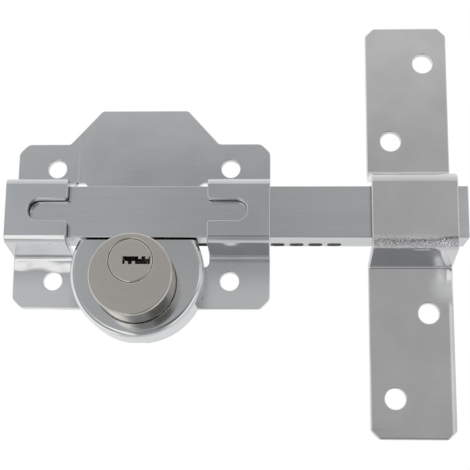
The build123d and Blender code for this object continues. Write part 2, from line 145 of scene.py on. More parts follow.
looking = new("ShaderNodeTexCoord")
apart = new("ShaderNodeSeparateXYZ")
join(looking.outputs["Generated"], apart.inputs[0])
forward = worked_out(tree, "MULTIPLY", apart.outputs["Y"], -1.0)
azimuth = worked_out(tree, "DEGREES", worked_out(tree, "ARCTAN2", apart.outputs["X"], forward))
elevation = worked_out(tree, "DEGREES", worked_out(tree, "ARCSINE", apart.outputs["Z"]))
front_room = by_height(tree, [
    (-90, 0.6, 0), (-12, 0.40, 0), (3, 0.53, 0), (11, 0.5, 0), (16, 0.53, 0), (20, 0.52, 0),
    (25, 0.68, 0), (38, 0.79, 0), (90, 0.92, 0),
])
back_room = by_height(tree, [
    (-90, 0.72, 0), (-35, 0.9, 0), (-16, 0.86, 0), (0, 0.84, 0), (20, 0.95, 0), (90, 1.0, 0),
])
room = mixed(tree, soft_step(tree, apart.outputs["Y"], -0.55, 0.1), front_room, back_room)
cards = [  # across, up and soft edge in degrees, level, warmth; where the camera sees each
    ((-9, 4), (14, 18), 3, 0.43, -0.01),  # darker: right strap, lower hump, housing's face
    ((-40, -14), (12, 16), 3, 0.57, -0.03),  # lighter by less than 8 of 255 levels
    ((50, 110), (-15, 45), 8, 0.8, 0),  # lighter: housing's right rim, edges that face right
    ((-115, -60), (-15, 45), 8, 1.1, 0),  # lighter: round parts' left rims, edges that face left
    ((-8, 60), (-70, 1), 3, 0.40, -0.02),  # darker: underside of the strike's strap
    ((5, 26), (-24, -2), 2.5, 0.16, 0),  # darker: sleeve's lower right, strike's lower bend
    ((32, 70), (-50, -8), 3, 1.1, 0),  # lighter: lower right rims, strike's lower right corner, which also has a painted highlight
    ((25, 48), (1, 15), 2.5, 0.95, 0),  # lighter: bar's end, strike's right edge
    ((-6, 4), (-10, 2), 1.5, 0.17, 0),  # darker: right strap's two lower bends
    ((-22, -12), (-62, 3), 2.5, 1.27, 0.02),  # lighter: left strap's underside, tops of thumb slots
    ((-125, -60), (-62, -4), 5, 1.2, 0),  # lighter: lower left rims of the round parts
]
for across, up, soft, level, warmth in cards:
    room = card(tree, room, across, up, soft, gray(level, warmth))
light_path = new("ShaderNodeLightPath")
lit = new("ShaderNodeBackground")
white = (1.0, 1.0, 1.0)
join(mixed(tree, light_path.outputs["Is Camera Ray"], room, white), lit.inputs["Color"])
join(lit.outputs[0], new("ShaderNodeOutputWorld").inputs[0])

floor_mesh = bpy.data.meshes.new("floor")
floor_half, floor_level = 3, -0.13
floor_corners = [(x * floor_half, y * floor_half, floor_level)
                 for x, y in ((-1, -1), (1, -1), (1, 1), (-1, 1))]
floor_mesh.from_pydata(floor_corners, [], [(0, 1, 2, 3)])
floor = bpy.data.objects.new("floor", floor_mesh)
bpy.context.scene.collection.objects.link(floor)
floor.visible_glossy = False
floor_paint = bpy.data.materials.new("floor_paint")
floor_mesh.materials.append(floor_paint)
tree = emptied(floor_paint)
new, join = tree.nodes.new, tree.links.new
paint = new("ShaderNodeBsdfDiffuse")
paint.inputs["Color"].default_value = (0.9, 0.9, 0.9, 1)
distance = new("ShaderNodeVectorMath")
distance.operation = "LENGTH"
join(new("ShaderNodeTexCoord").outputs["Object"], distance.inputs[0])
faded = new("ShaderNodeMixShader")
join(soft_step(tree, distance.outputs["Value"], 0.3, 1.2), faded.inputs[0])
join(paint.outputs[0], faded.inputs[1])
join(new("ShaderNodeBsdfTransparent").outputs[0], faded.inputs[2])
join(faded.outputs[0], new("ShaderNodeOutputMaterial").inputs[0])

# Lock plate: one sheet of 2.5 mm steel, blanked, pressed into two raised straps and bright plated.
# Blanking rolls its front edges over and leaves the back edges nearly square.
sheet = 2.5
roll, burr = 0.4, 0.15
blank_edge = {
    "inset": np.array([roll, 0.62 * roll, 0.29 * roll, 0.08 * roll, 0, 0, burr]),
    "depth": np.array([0, 0.08 * roll, 0.29 * roll, 0.62 * roll, roll, sheet - burr, sheet]),
    "lean": np.radians([0, 22.5, 45, 67.5, 90, 90, 180]),
}


def rounded(corners, radii, steps=5):
    """Loop through the corners, each replaced by an arc of its radius that touches both its sides.

    The arc's centre lies on the corner's bisector, at radius over the sine of half the angle."""
    corners = np.array(corners, float)
    radii = np.broadcast_to(radii, len(corners))
    before = np.roll(corners, 1, 0) - corners
    after = np.roll(corners, -1, 0) - corners
    before /= np.linalg.norm(before, axis=1)[:, None]
    after /= np.linalg.norm(after, axis=1)[:, None]
    half = np.arccos(np.clip((before * after).sum(1), -1, 1)) / 2
    middle = before + after
    middle /= np.maximum(np.linalg.norm(middle, axis=1), 1e-9)[:, None]
    centre = corners + middle * (radii / np.sin(half))[:, None]
    start = corners + before * (radii / np.tan(half))[:, None] - centre
    end = corners + after * (radii / np.tan(half))[:, None] - centre
    first = np.arctan2(start[:, 1], start[:, 0])
    sweep = np.arctan2(end[:, 1], end[:, 0]) - first
    sweep = (sweep + np.pi) % (2 * np.pi) - np.pi
    turn = first[:, None] + sweep[:, None] * np.linspace(0, 1, steps)
    arcs = centre[:, None] + radii[:, None, None] * np.stack([np.cos(turn), np.sin(turn)], 2)
    kept = (radii > 0)[:, None] | (np.arange(steps) == 0)
    return np.where((radii > 0)[:, None, None], arcs, corners[:, None])[kept]


def circle(x, z, radius, turn=-1, steps=64):
    """Loop round a centre: anticlockwise (turn 1) round metal, clockwise (turn -1) round a hole."""
    angle = turn * 2 * np.pi * np.arange(steps) / steps
    return np.stack([x + radius * np.cos(angle), z + radius * np.sin(angle)], 1)


def arc(x, z, radius, first, last, steps):
    """Points on an arc round a centre, from the first to the last angle in degrees."""
    angle = np.radians(np.linspace(first, last, steps))
    return np.stack([x + radius * np.cos(angle), z + radius * np.sin(angle)], 1)


def edge_rings(loop, edge, plain):
    """Carries an edge profile round a loop that has the metal on its left.

    Each point moves into the metal by the profile's inset, along the mitre of its two sides, and
    off the front face by its depth. Sides that the plain test picks keep their place."""
    side = np.roll(loop, -1, 0) - loop
    side /= np.linalg.norm(side, axis=1)[:, None]
    inward = np.stack([-side[:, 1], side[:, 0]], 1)
    worked = 1.0 - plain((loop + np.roll(loop, -1, 0)) / 2)
    n1, a1, n2, a2 = np.roll(inward, 1, 0), np.roll(worked, 1), inward, worked
    det = n1[:, 0] * n2[:, 1] - n1[:, 1] * n2[:, 0]
    bent = np.abs(det) > 1e-5
    det = np.where(bent, det, 1)
    mitre = np.stack([a1 * n2[:, 1] - a2 * n1[:, 1], a2 * n1[:, 0] - a1 * n2[:, 0]], 1)
    mitre = np.where(bent[:, None], mitre / det[:, None], n2 * np.maximum(a1, a2)[:, None])
    outward = -(n1 * a1[:, None] + n2 * a2[:, None])
    outward = np.where((a1 + a2)[:, None] > 0, outward, -n1 - n2)
    outward /= np.linalg.norm(outward, axis=1)[:, None]
    flat = loop[:, None] + edge["inset"][None, :, None] * mitre[:, None]
    depth = np.broadcast_to(edge["depth"][None, :, None], flat.shape[:2] + (1,))
    lean_out = np.sin(edge["lean"])[None, :, None] * outward[:, None]
    lean_off = np.broadcast_to(-np.cos(edge["lean"])[None, :, None], depth.shape)
    return np.concatenate([flat, depth], 2), np.concatenate([lean_out, lean_off], 2)


def filled(rings, breaks=()):
    """Triangles, anticlockwise, over the metal between the rings, with an edge at every break."""
    flat = np.concatenate(rings)
    starts = np.cumsum([0] + [len(ring) for ring in rings])
    pairs = [(np.arange(a, b), np.roll(np.arange(a, b), -1)) for a, b in zip(starts, starts[1:])]
    first = np.concatenate([pair[0] for pair in pairs])
    second = np.concatenate([pair[1] for pair in pairs])
    edges = list(zip(first.tolist(), second.tolist()))
    for place in breaks:
        level = np.flatnonzero(np.abs(flat[:, 1] - place) < 1e-6)
        edges.append((int(level[flat[level, 0].argmin()]), int(level[flat[level, 0].argmax()])))
    _, _, faces, origins, _, _ = delaunay_2d_cdt([Vector(p) for p in flat], edges, [], 0, 1e-7)
    triangles = np.array([[origins[corner][0] for corner in face] for face in faces])
    middle = flat[triangles].mean(1)
    a, b = flat[first], flat[second]
    rise = b[:, 1] - a[:, 1]
    rise = np.where(rise == 0, 1, rise)
    above = (a[None, :, 1] > middle[:, 1:]) != (b[None, :, 1] > middle[:, 1:])
    cross = a[:, 0] + (middle[:, 1:] - a[:, 1]) * (b[:, 0] - a[:, 0]) / rise
    return triangles[(above & (middle[:, :1] < cross)).sum(1) % 2 == 1]


def nothing(middle):
    """Picks no side."""
    return middle[:, 0] > 1e9


def blanked(loops, edges, plain=nothing, joined=None, cut=None, breaks=(), floors=()):
    """Work cut out by its loops: flat front, edge profiles, flat back and floors of blind holes.

    Plain sides stay square. Joined sides get no wall, and a cut side one flat wall. Gives points
    (along, up, depth), their normals and the walls and flats as two lists of faces."""
    points, normals, walls, flats, fronts, backs, start = [], [], [], [], [], [], 0
    for number, (loop, edge) in enumerate(zip(loops, edges)):
        ring, normal = edge_rings(loop, edge, plain)
        count, deep = ring.shape[:2]
        grid = start + np.arange(count * deep).reshape(count, deep)
        ahead = np.roll(grid, -1, 0)
        quads = np.stack([grid[:, :-1], grid[:, 1:], ahead[:, 1:], ahead[:, :-1]], 2)
        middle = (loop + np.roll(loop, -1, 0)) / 2
        if joined is not None:
            quads = quads[~joined(middle)]
        if cut is not None and number == 0:
            side = int(np.flatnonzero(cut(middle))[0])
            flats.append(grid[side].tolist() + ahead[side, ::-1].tolist())
            quads = np.delete(quads, side, 0)
        walls += quads.reshape(-1, 4).tolist()
        points.append(ring.reshape(-1, 3))
        normals.append(normal.reshape(-1, 3))
        fronts.append((ring[:, 0, :2], grid[:, 0]))
        if number in floors:
            flats.append(grid[::-1, -1].tolist())
        else:
            backs.append((ring[:, -1, :2], grid[:, -1]))
        start += count * deep
    for rings, way in ((fronts, 1), (backs, -1)):
        index = np.concatenate([ids for _, ids in rings])
        flats += index[filled([ring for ring, _ in rings], breaks)][:, ::way].tolist()
    return np.concatenate(points), np.concatenate(normals), walls, flats


def piece(name, points, normals, walls, flats, body, replaced, slot, finish):
    """New object of the given surface, in metres, that stands for a node and rides on its body.

    Walls take the profile's normals and flats their own. Points that meet are merged."""
    mesh = bpy.data.meshes.new(name)
    spots, first, index = np.unique(
        np.round(points, 4), axis=0, return_index=True, return_inverse=True)
    index = index.reshape(-1)
    faces = [index[face].tolist() for face in walls + flats]
    mesh.from_pydata((points[first] * 0.001).tolist(), [], faces)
    mesh.polygons.foreach_set("use_smooth", np.ones(len(faces), bool))
    sizes = [len(face) for face in faces]
    own = np.empty(len(faces) * 3)
    mesh.polygons.foreach_get("normal", own)
    own = np.repeat(own.reshape(-1, 3), sizes, 0)
    lent = normals[np.concatenate([np.array(face) for face in walls + flats])]
    wall = np.repeat(np.arange(len(faces)) < len(walls), sizes)
    mesh.normals_split_custom_set(np.where(wall[:, None], lent, own).tolist())
    marks = mesh.attributes.new("wall", "FLOAT", "CORNER")
    marks.data.foreach_set("value", wall.astype(np.float32))
    mesh.materials.append(finish)
    made = bpy.data.objects.new(name, mesh)
    bpy.context.scene.collection.objects.link(made)
    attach(made, body)
    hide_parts(replaced)
    return made


def grain_group():
    """Node group: fine and broad unevenness of a worked metal surface, both round 0.5."""
    group = bpy.data.node_groups.new("metal_grain", "ShaderNodeTree")
    group.interface.new_socket("Vector", in_out="INPUT", socket_type="NodeSocketVector")
    for name in ("Fine Scale", "Broad Scale"):
        group.interface.new_socket(name, in_out="INPUT", socket_type="NodeSocketFloat")
    for name in ("Fine", "Broad"):
        group.interface.new_socket(name, in_out="OUTPUT", socket_type="NodeSocketFloat")
    entry, outlet = group.nodes.new("NodeGroupInput"), group.nodes.new("NodeGroupOutput")
    for name, detail in (("Fine", 3.0), ("Broad", 1.0)):
        noise = group.nodes.new("ShaderNodeTexNoise")
        noise.inputs["Detail"].default_value = detail
        group.links.new(entry.outputs["Vector"], noise.inputs["Vector"])
        group.links.new(entry.outputs[name + " Scale"], noise.inputs["Scale"])
        group.links.new(noise.outputs["Fac"], outlet.inputs[name])
    return group


def scuff_group():
    """Node group: where handling has scuffed the finish, in thin hairlines and soft patches."""
    group = bpy.data.node_groups.new("handling_scuffs", "ShaderNodeTree")
    group.interface.new_socket("Vector", in_out="INPUT", socket_type="NodeSocketVector")
    group.interface.new_socket("Scuff", in_out="OUTPUT", socket_type="NodeSocketFloat")
    entry, outlet = group.nodes.new("NodeGroupInput"), group.nodes.new("NodeGroupOutput")
    lines = []
    for turn, stretch in ((0.4, 40.0), (1.9, 55.0)):
        turned = group.nodes.new("ShaderNodeMapping")
        turned.inputs["Rotation"].default_value = (0, turn, 0)
        turned.inputs["Scale"].default_value = (stretch, 600.0, 1400.0)
        streak = group.nodes.new("ShaderNodeTexNoise")
        streak.inputs["Scale"].default_value = 1.0
        streak.inputs["Detail"].default_value = 1.0
        ramp = group.nodes.new("ShaderNodeMapRange")
        ramp.inputs["From Min"].default_value = 0.66
        ramp.inputs["From Max"].default_value = 0.74
        group.links.new(entry.outputs[0], turned.inputs[0])
        group.links.new(turned.outputs[0], streak.inputs["Vector"])
        group.links.new(streak.outputs["Fac"], ramp.inputs["Value"])
        lines.append(ramp.outputs[0])
    patch = group.nodes.new("ShaderNodeTexNoise")
    patch.inputs["Scale"].default_value = 90.0
    group.links.new(entry.outputs[0], patch.inputs["Vector"])
    both = group.nodes.new("ShaderNodeMath")
    both.operation = "MAXIMUM"
    group.links.new(lines[0], both.inputs[0])
    group.links.new(lines[1], both.inputs[1])
    where = group.nodes.new("ShaderNodeMath")
    where.operation = "MULTIPLY"
    group.links.new(both.outputs[0], where.inputs[0])
    group.links.new(patch.outputs["Fac"], where.inputs[1])
    group.links.new(where.outputs[0], outlet.inputs["Scuff"])
    return group


metal_grain, handling_scuffs = grain_group(), scuff_group()


def metal(name, color, roughness, stretch=(1, 1, 1), fine=(2600, 0.0015), broad=(70, 0.05),
          tint=0.05, turned_on=None, pressed=None, polished=None):
    """Metal finish: its colour and roughness vary by grain, and scuffs roughen it a little.

    Grain is (scale, height in mm), stretched by direction. On turned work it follows rings round an
    axis given by its (x, z): the vector is the distance from the axis and the depth. Pressed gives
    the height in mm of what the press left, and a painted highlight: how far the metal's colour is
    lightened towards near white. Walls of the piece may be polished to a roughness of their own."""
    finish = bpy.data.materials.new(name)
    tree = emptied(finish)
    new, join = tree.nodes.new, tree.links.new
    place = new("ShaderNodeTexCoord").outputs["Object"]
    mapping = new("ShaderNodeMapping")
    join(place, mapping.inputs["Vector"])
    along = mapping.outputs[0]
    if turned_on is None:
        mapping.inputs["Scale"].default_value = stretch
    else:
        mapping.inputs["Location"].default_value = (-turned_on[0], 0, -turned_on[1])
        apart = new("ShaderNodeSeparateXYZ")
        join(along, apart.inputs[0])
        squares = [worked_out(tree, "POWER", apart.outputs[axis], 2) for axis in "XZ"]
        reach = worked_out(tree, "SQRT", worked_out(tree, "ADD", *squares))
        ring = new("ShaderNodeCombineXYZ")
        join(reach, ring.inputs["X"])
        join(apart.outputs["Y"], ring.inputs["Y"])
        along = ring.outputs[0]
    grain, scuffs = new("ShaderNodeGroup"), new("ShaderNodeGroup")
    grain.node_tree, scuffs.node_tree = metal_grain, handling_scuffs
    grain.inputs["Fine Scale"].default_value = fine[0]
    grain.inputs["Broad Scale"].default_value = broad[0]
    join(along, grain.inputs["Vector"])
    join(place, scuffs.inputs["Vector"])
    surface = new("ShaderNodeBsdfPrincipled")
    surface.inputs["Metallic"].default_value = 1
    halves = [worked_out(tree, "MULTIPLY", grain.outputs[size], 0.5) for size in ("Fine", "Broad")]
    shade = soft_step(tree, worked_out(tree, "ADD", *halves), 0.3, 0.7)
    darker, lighter = (tuple(part * share for part in color) for share in (1 - tint, 1 + tint))
    tone, shape = mixed(tree, shade, darker, lighter), None
    if pressed is not None:
        shape, painted_highlight = pressed(tree, place, grain.outputs["Broad"])
        # painted highlight: colour lightened towards near white by the share the press function
        # gives
        tone = mixed(tree, painted_highlight, tone, (0.9, 0.91, 0.92))
    join(tone, surface.inputs["Base Color"])
    spread = 0.04
    rough = worked_out(tree, "MULTIPLY_ADD", grain.outputs["Fine"], spread, roughness - spread / 2)
    rough = worked_out(tree, "MULTIPLY_ADD", scuffs.outputs["Scuff"], 0.12, rough)
    if polished is not None:
        wall = new("ShaderNodeAttribute")
        wall.attribute_name = "wall"
        rough = worked_out(tree, "MULTIPLY_ADD", wall.outputs["Fac"], polished - roughness, rough)
    join(rough, surface.inputs["Roughness"])
    bump = new("ShaderNodeBump")
    bump.inputs["Distance"].default_value = 0.001
    uneven = worked_out(tree, "MULTIPLY", grain.outputs["Broad"], broad[1])
    if shape is not None:
        uneven = worked_out(tree, "ADD", uneven, shape)
    height = worked_out(tree, "MULTIPLY_ADD", grain.outputs["Fine"], fine[1], uneven)
    join(height, bump.inputs["Height"])
    join(bump.outputs[0], surface.inputs["Normal"])
    join(surface.outputs[0], new("ShaderNodeOutputMaterial").inputs[0])
    return finish


def ear_hollow_and_painted_highlight(tree, place, waver):
    """The press leaves the left lower ear hollow for 4 mm under its strap, with a slope of up to 6
    degrees. Both lower ears get a painted highlight: their colour is lighter the lower they lie."""
    apart = tree.nodes.new("ShaderNodeSeparateXYZ")
    tree.links.new(place, apart.inputs[0])
    level = worked_out(tree, "MULTIPLY_ADD", waver, 0.004, apart.outputs["Z"])
    left_one = soft_step(tree, apart.outputs["X"], -0.027, -0.029)
    slope = worked_out(tree, "MULTIPLY", soft_step(tree, level, -0.0198, -0.0125, 0.55), left_one)
    # painted highlight: colour lighter towards the bottom of the two lower ears, outside the straps
    lower = worked_out(tree, "MULTIPLY", soft_step(tree, apart.outputs["Z"], -0.018, -0.03), 0.75)
    out = soft_step(tree, worked_out(tree, "ABSOLUTE", apart.outputs["X"]), 0.024, 0.032)
    return slope, worked_out(tree, "MULTIPLY", lower, out)


plate_finish = metal("plated_sheet", (0.645, 0.66, 0.67), 0.11, pressed=ear_hollow_and_painted_highlight)


def bent_path(corners, radii, steps=9):
    """Arclength, depth, height and heading along a line of (height, depth) corners with arcs."""
    corners = np.array(corners, float)
    leg = np.diff(corners, axis=0)
    heading = np.arctan2(leg[:, 1], leg[:, 0])
    rows, place = [(0.0, *corners[0], heading[0])], corners[0]
    for number, radius in enumerate(radii):
        turn = heading[number + 1] - heading[number]
        reach = radius * np.tan(abs(turn) / 2)
        way = np.array([np.cos(heading[number]), np.sin(heading[number])])
        start = corners[number + 1] - way * reach
        centre = start + np.array([-way[1], way[0]]) * radius * np.sign(turn)
        run = rows[-1][0] + np.linalg.norm(start - place)
        along = heading[number] + turn * np.linspace(0, 1, steps)
        spots = centre + np.sign(turn) * radius * np.stack([np.sin(along), -np.cos(along)], 1)
        lengths = run + radius * abs(turn) * np.linspace(0, 1, steps)
        rows += list(zip(lengths, spots[:, 0], spots[:, 1], along))
        place = spots[-1]
    rows.append((rows[-1][0] + np.linalg.norm(corners[-1] - place), *corners[-1], heading[-1]))
    return np.array(rows).T


def bent_sheet(points, normals, walls, flats, path):
    """Lays flat sheet (along, run, depth) on a path: height and depth off it by its heading.

    Its front and back follow the bends, so they become walls with points of their own."""
    index = np.array(flats)
    facing = np.where(points[index].mean(1)[:, 2] < points[:, 2].max() / 2, -1.0, 1.0)
    ends = np.repeat(facing[:, None] * [0, 0, 1], 3, 0)
    walls = walls + (len(points) + np.arange(index.size).reshape(-1, 3)).tolist()
    points = np.concatenate([points, points[index.reshape(-1)]])
    normals = np.concatenate([normals, ends])
    run, height, out, heading = path
    at = [np.interp(points[:, 1], run, row) for row in (height, out, heading)]
    up, off = np.cos(at[2]), np.sin(at[2])
    laid = np.stack([points[:, 0], up * points[:, 2] - at[1], at[0] + off * points[:, 2]], 1)
    leant = np.stack([normals[:, 0], up * normals[:, 2] - off * normals[:, 1],
                      up * normals[:, 1] + off * normals[:, 2]], 1)
    return laid, leant, walls, []


def divided(loop, places):
    """Adds a point to the loop wherever one of its sides crosses one of the places."""
    side = np.roll(loop, -1, 0) - loop
    level = np.abs(side[:, 1]) < 1e-9
    share = (np.array(places) - loop[:, 1:]) / np.where(level, 1, side[:, 1])[:, None]
    share[level] = -1
    which, crossed = np.nonzero((share > 1e-6) & (share < 1 - 1e-6))
    cut = share[which, crossed]
    order = np.argsort(np.concatenate([np.arange(len(loop)), which + cut]))
    return np.concatenate([loop, loop[which] + cut[:, None] * side[which]])[order]


def standing(points, normals, front):
    """Puts flat work (along, up, depth) upright, its front this far off the door."""
    laid = np.stack([points[:, 0], points[:, 2] - front, points[:, 1]], 1)
    return laid, normals[:, [0, 2, 1]]


screw_hole_radius = 3.9
bar_z = 1.2
plate_side, strap_side = 53.9, 28.5
ear_foot, ear_head, hump_head = -36.2, 35.6, 50.7
plug_z, cup_radius = -23.3, 27.2
strap_face, strap_foot, strap_front, bend = 13.18, 15.58, 20.8, 3.0
relief = 2.3
high, low = 18.4, -16.2
lobe_turn = np.degrees(np.arcsin((ear_foot - plug_z) / cup_radius))
right_side = np.concatenate([
    [(0, -48.85), (3.6, -48.85)],
    arc(0, plug_z, cup_radius, -90 + np.degrees(np.arcsin(3.6 / cup_radius)), lobe_turn, 22),
    [(plate_side - 4, ear_foot), (plate_side, ear_foot + 4), (plate_side, low)],
    [(strap_side + roll, low)],
    arc(strap_side - relief, low, relief, 0, -180, 17),
    arc(strap_side - relief, high - relief, relief, 180, 90, 9),
    [(strap_side, high), (strap_side + roll, high)],
    [(plate_side, high), (plate_side, ear_head - 4), (plate_side - 4, ear_head)],
    [(32.0, ear_head), (18.5, hump_head)],
])
radii = np.zeros(len(right_side))
radii[[24, 25, -4, -3]] = 3.4
radii[[-2, -1]] = 2.0
both = np.concatenate([right_side, right_side[:0:-1] * (-1, 1)])
plate_outline = rounded(both, np.concatenate([radii, radii[:0:-1]]))
plate_holes = [circle(x, z, screw_hole_radius) for x in (-37.1, 37.1) for z in (-24.5, 24.5)]
plate_holes += [circle(0, plug_z, 8.5)]
screw_holes = [circle(x, -41.77, 3.5) for x in (-7, 7)]
counterbore = {
    "inset": np.array([-1.35, -1.5, -1.5, -1.35, -0.15, 0, 0, 0.15]),
    "depth": np.array([0, 0.15, 0.55, 0.7, 0.7, 0.85, sheet - 0.15, sheet]),
    "lean": np.radians([45, 90, 90, 180, 180, 90, 90, 180]),
}


def tenon_loop(angle, thickness, width, way=-1):
    """Rectangle across the housing's wall, at an angle in degrees round its axis."""
    corners = np.array([(-1, -1), (1, -1), (1, 1), (-1, 1)]) * (thickness / 2, width / 2)
    turned = np.radians(angle)
    out = np.array([np.cos(turned), np.sin(turned)])
    round_it = np.array([-np.sin(turned), np.cos(turned)])
    middle = np.array([0, plug_z]) + (cup_radius - 0.9) * out
    return rounded((middle + corners[:, :1] * out + corners[:, 1:] * round_it)[::way], 0.3, 3)


small_edge = {"inset": np.array([0.1, 0, 0, 0.1]), "depth": np.array([0, 0.1, sheet - 0.1, sheet]),
              "lean": np.radians([45, 90, 90, 135])}
tenon_slots = [tenon_loop(angle, 1.5, 7.2) for angle in (-12, -168)]


def on_seam(middle):
    """Picks the sides of the ears where the straps begin."""
    level = np.minimum(np.abs(middle[:, 1] - high), np.abs(middle[:, 1] - low))
    return (level < 1e-6) & (np.abs(middle[:, 0]) > strap_side)


def joined_seam(middle):
    """Picks the part of those sides that runs on into a strap without a wall."""
    return on_seam(middle) & (np.abs(middle[:, 0]) > strap_side + roll)


points, normals, walls, flats = blanked(
    [plate_outline] + plate_holes + screw_holes + tenon_slots,
    [blank_edge] * 6 + [counterbore] * 2 + [small_edge] * 2, plain=on_seam, joined=joined_seam
)
plate_parts = [standing(points, normals, sheet) + (walls, flats)]
strap_path = bent_path(
    [(low, sheet), (bar_z - strap_foot, sheet), (bar_z - strap_face, strap_front),
     (bar_z + strap_face, strap_front), (bar_z + strap_foot, sheet), (high, sheet)],
    [1.8, bend, bend, 1.7],
)
strap_length = strap_path[0, -1]
strap_breaks = strap_path[0, 1:-1]
slot_half, slot_end = 4.45, strap_side + 16.2
slot_middle = np.interp(bar_z, strap_path[1], strap_path[0])
slot_turn = arc(slot_end - slot_half, slot_middle, slot_half, -90, 90, 21)
for side in (1, -1):
    strap_outline = np.concatenate([
        [(strap_side, 0), (plate_side, 0), (plate_side, strap_length), (strap_side, strap_length)],
        [(strap_side, slot_middle + slot_half)], slot_turn[::-1],
        [(strap_side, slot_middle - slot_half)],
    ])
    strap_radii = np.zeros(len(strap_outline))
    strap_radii[[4, -1]] = 1.4
    strap_outline = divided(rounded(strap_outline, strap_radii), strap_breaks)
    if side < 0:
        strap_outline = strap_outline[::-1] * (-1, 1)

    def strap_end(middle):
        """Picks the two ends of the strap, which join the ears."""
        return np.minimum(middle[:, 1], strap_length - middle[:, 1]) < 1e-6

    points, normals, walls, flats = blanked(
        [strap_outline], [blank_edge], plain=strap_end, joined=strap_end, breaks=strap_breaks
    )
    plate_parts.append(bent_sheet(points, normals, walls, flats, strap_path))


def together(parts):
    """One surface of several."""
    starts = np.cumsum([0] + [len(part[0]) for part in parts])
    walls = [[c + start for c in face] for start, part in zip(starts, parts) for face in part[2]]
    flats = [[c + start for c in face] for start, part in zip(starts, parts) for face in part[3]]
    points, normals = (np.concatenate([part[n] for part in parts]) for n in (0, 1))
    return points, normals, walls, flats


piece("pressed_lock_plate", *together(plate_parts), "root", "lock_plate", "plated_sheet",
      plate_finish)

# Strike plate: one strip of the same 2.5 mm sheet, blanked with four staggered screw holes and bent
# into a strap for the bar's end. Its front edges are rolled more than the lock plate's.
strike_x, strike_half = 112.0, 17.35
strike_low, strike_high = -89.35, 88.15
strike_front, strike_face, strike_foot, strike_bend = 20.5, 15.35, 19.55, 4.6
strike_path = bent_path(
    [(strike_low, sheet), (bar_z - strike_foot, sheet), (bar_z - strike_face, strike_front),
     (bar_z + strike_face, strike_front), (bar_z + strike_foot, sheet), (strike_high, sheet)],
    [1.0, strike_bend, strike_bend, bend],
)
strike_length = strike_path[0, -1]
left, right, snip = strike_x - strike_half, strike_x + strike_half, 3.5
strike_outline = rounded(
    [(left + snip, 0), (right - snip, 0), (right, snip), (right, strike_length - snip),
     (right - snip, strike_length), (left + snip, strike_length), (left, strike_length - snip),
     (left, snip)],
    1.6,
)
strike_breaks = strike_path[0, 1:-1]
strike_outline = divided(strike_outline, strike_breaks)
strike_holes = []
for x, z in ((104.85, -72.95), (104.85, 36.55), (119.15, 71.75), (119.15, -37.75)):
    run = z - strike_low if z < 0 else strike_length - (strike_high - z)
    strike_holes.append(circle(x, run, 4.3))
strike_roll = 0.7
strike_edge = {
    "inset": np.concatenate([strike_roll / roll * blank_edge["inset"][:5], [0, burr]]),
    "depth": np.concatenate(
        [strike_roll / roll * blank_edge["depth"][:5], blank_edge["depth"][5:]]),
    "lean": blank_edge["lean"],
}
strike_parts = blanked([strike_outline] + strike_holes, [strike_edge] + [blank_edge] * 4,
                       breaks=strike_breaks)


def bend_crinkle_and_painted_highlight(tree, place, _):
    """Bending has crinkled the plating of the strap's lower bend in fine waves. The right corner of
    the lower leaf leans back where the press tool ended, and a painted highlight lightens its
    colour there. Its right edge curls."""
    apart = tree.nodes.new("ShaderNodeSeparateXYZ")
    tree.links.new(place, apart.inputs[0])
    band = worked_out(tree, "MULTIPLY", soft_step(tree, apart.outputs["Z"], -0.0148, -0.0138),
                      soft_step(tree, apart.outputs["Z"], -0.0085, -0.0115))
    crinkle = tree.nodes.new("ShaderNodeTexNoise")
    crinkle.inputs["Scale"].default_value = 1500
    crinkle.inputs["Detail"].default_value = 1
    tree.links.new(place, crinkle.inputs["Vector"])
    in_band = worked_out(tree, "MULTIPLY", crinkle.outputs["Fac"], band)
    waves = worked_out(tree, "MULTIPLY", in_band, 0.22)
    back = soft_step(tree, apart.outputs["X"], 0.1185, 0.1292, -0.85)
    below = soft_step(tree, apart.outputs["Z"], -0.036, -0.022)
    corner = worked_out(tree, "MULTIPLY", back, below)
    above = soft_step(tree, apart.outputs["Z"], -0.0095, -0.0125)
    corner = worked_out(tree, "MULTIPLY", corner, above)
    curl = worked_out(tree, "MULTIPLY", soft_step(tree, apart.outputs["X"], 0.1266, 0.1294, -0.26),
                      soft_step(tree, apart.outputs["Z"], -0.0185, -0.0205))
    waves = worked_out(tree, "ADD", waves, worked_out(tree, "ADD", corner, curl))
    # painted highlight: colour lightened towards near white within 9 mm of the strike's lower right
    # corner
    away = tree.nodes.new("ShaderNodeVectorMath")
    away.operation = "DISTANCE"
    tree.links.new(place, away.inputs[0])
    away.inputs[1].default_value = (0.1265, 0, -0.0265)
    corner_painted_highlight = worked_out(tree, "MULTIPLY", soft_step(tree, away.outputs["Value"], 0.009, 0.002), 0.9)
    return waves, corner_painted_highlight


strike_finish = metal("plated_strike", (0.65, 0.65, 0.66), 0.11, pressed=bend_crinkle_and_painted_highlight)
piece("bent_strike_plate", *bent_sheet(*strike_parts, strike_path), "root", "strike_plate",
      "plated_sheet", strike_finish)

